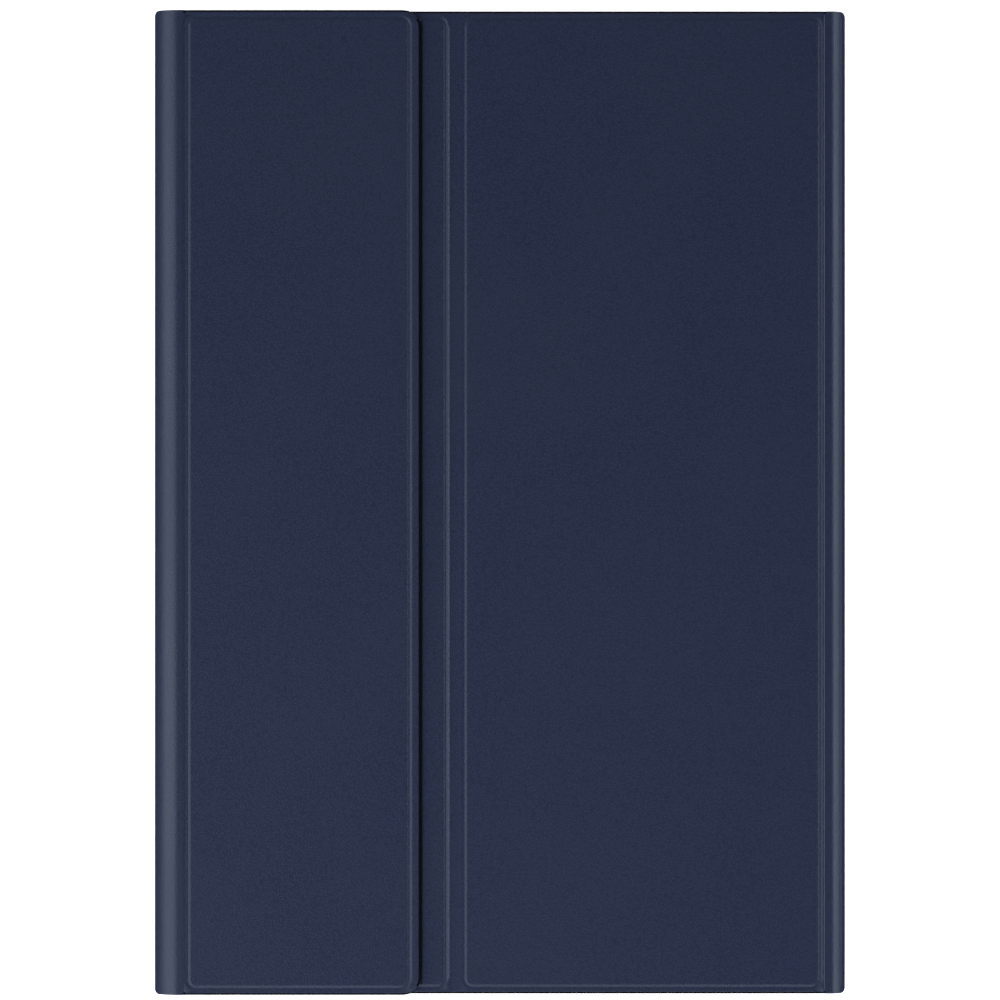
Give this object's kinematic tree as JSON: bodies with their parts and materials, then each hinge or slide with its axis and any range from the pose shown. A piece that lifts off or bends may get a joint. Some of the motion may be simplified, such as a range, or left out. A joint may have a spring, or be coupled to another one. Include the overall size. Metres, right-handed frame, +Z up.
{
  "type": "tablet keyboard case",
  "caption": "Flat navy leather folio with a rounded spine, a raised flap and a fold groove, holding a tablet tray and a slim keyboard, that opens into a stand.",
  "frame": {"origin": "under the middle of the closed case, on the surface it lies on", "axes": "+X from the spine to the free edge, +Y along the spine, +Z up, away from the surface"},
  "size_m": [0.182, 0.259, 0.0206],
  "materials": {
    "navy_leather": "fine grain, low gloss",
    "lining_microfibre": "brushed microfibre",
    "stiffener": "plain stiff sheet",
    "tray_plastic": "satin moulded",
    "keyboard_plastic": "fine matte texture",
    "key_plastic": "satin key caps",
    "steel": "plain",
    "magnet": "nickel plated",
    "rubber": "matte",
    "dome_rubber": "translucent silicone",
    "circuit": "solder mask",
    "cell": "foil pouch",
    "light": "clear lens",
    "film": "clear film"
  },
  "bodies": {
    "keyboard_cover": {"cover_skin": "navy_leather", "cover_board": "stiffener", "cover_lining": "lining_microfibre", "cover_magnets": "magnet", "dock_magnets": "magnet", "keyboard_base": "keyboard_plastic", "key_backplate": "steel", "key_membrane": "film", "keyboard_frame": "keyboard_plastic", "keyboard_screws": "steel", "keyboard_bumpers": "rubber", "battery": "cell", "controller_board": "circuit", "charge_port": "steel", "switch_housing": "keyboard_plastic", "status_lights": "light", "domes_function": "dome_rubber", "domes_number": "dome_rubber", "domes_upper": "dome_rubber", "domes_home": "dome_rubber", "domes_lower": "dome_rubber", "domes_bottom": "dome_rubber", "domes_space": "dome_rubber"},
    "spine": {"spine_skin": "navy_leather", "spine_board": "stiffener", "spine_lining": "lining_microfibre"},
    "stand_leg": {"flap_skin": "navy_leather", "flap_board": "stiffener", "flap_magnets": "magnet", "leg_skin": "navy_leather", "leg_board": "stiffener", "leg_plates": "steel", "leg_lining": "lining_microfibre"},
    "tablet_tray": {"tray_shell": "tray_plastic", "tray_lining": "lining_microfibre", "tray_keepers": "steel", "back_board": "stiffener", "back_panel_skin": "navy_leather"},
    "power_switch": {"power_switch": "keyboard_plastic"},
    "keys_function": {"keys_function": "key_plastic"},
    "keys_number": {"keys_number": "key_plastic"},
    "keys_upper": {"keys_upper": "key_plastic"},
    "keys_home": {"keys_home": "key_plastic"},
    "keys_lower": {"keys_lower": "key_plastic"},
    "keys_bottom": {"keys_bottom": "key_plastic"},
    "space_bar": {"space_bar": "key_plastic"}
  },
  "joints": [
    {"name": "cover_hinge", "type": "hinge", "parent": "keyboard_cover", "child": "spine", "pos_m": [-0.091, 0, 0], "axis": [0, -1, 0], "range_deg": [0, 90]},
    {"name": "stand_hinge", "type": "hinge", "parent": "spine", "child": "stand_leg", "pos_m": [-0.082, 0, 0.0206], "axis": [0, -1, 0], "range_deg": [0, 75]},
    {"name": "tray_fold", "type": "hinge", "parent": "stand_leg", "child": "tablet_tray", "pos_m": [-0.01115, 0, 0.0182], "axis": [0, -1, 0], "range_deg": [0, 21]},
    {"name": "keys_function_press", "type": "slide", "parent": "keyboard_cover", "child": "keys_function", "axis": [0, 0, -1], "range_m": [0, 0.001], "stiffness_N_per_m": 400, "springref_m": -0.0006, "deforming": ["domes_function"]},
    {"name": "keys_number_press", "type": "slide", "parent": "keyboard_cover", "child": "keys_number", "axis": [0, 0, -1], "range_m": [0, 0.001], "stiffness_N_per_m": 400, "springref_m": -0.0006, "deforming": ["domes_number"]},
    {"name": "keys_upper_press", "type": "slide", "parent": "keyboard_cover", "child": "keys_upper", "axis": [0, 0, -1], "range_m": [0, 0.001], "stiffness_N_per_m": 400, "springref_m": -0.0006, "deforming": ["domes_upper"]},
    {"name": "keys_home_press", "type": "slide", "parent": "keyboard_cover", "child": "keys_home", "axis": [0, 0, -1], "range_m": [0, 0.001], "stiffness_N_per_m": 400, "springref_m": -0.0006, "deforming": ["domes_home"]},
    {"name": "keys_lower_press", "type": "slide", "parent": "keyboard_cover", "child": "keys_lower", "axis": [0, 0, -1], "range_m": [0, 0.001], "stiffness_N_per_m": 400, "springref_m": -0.0006, "deforming": ["domes_lower"]},
    {"name": "keys_bottom_press", "type": "slide", "parent": "keyboard_cover", "child": "keys_bottom", "axis": [0, 0, -1], "range_m": [0, 0.001], "stiffness_N_per_m": 400, "springref_m": -0.0006, "deforming": ["domes_bottom"]},
    {"name": "space_bar_press", "type": "slide", "parent": "keyboard_cover", "child": "space_bar", "axis": [0, 0, -1], "range_m": [0, 0.001], "stiffness_N_per_m": 400, "springref_m": -0.0006, "deforming": ["domes_space"]},
    {"name": "power_switch_slide", "type": "slide", "parent": "keyboard_cover", "child": "power_switch", "axis": [0, 1, 0], "range_m": [0, 0.0025]}
  ],
  "couplings": [
    {"joint": "tray_fold", "follows": "stand_hinge", "ratio": 0.28}
  ]
}
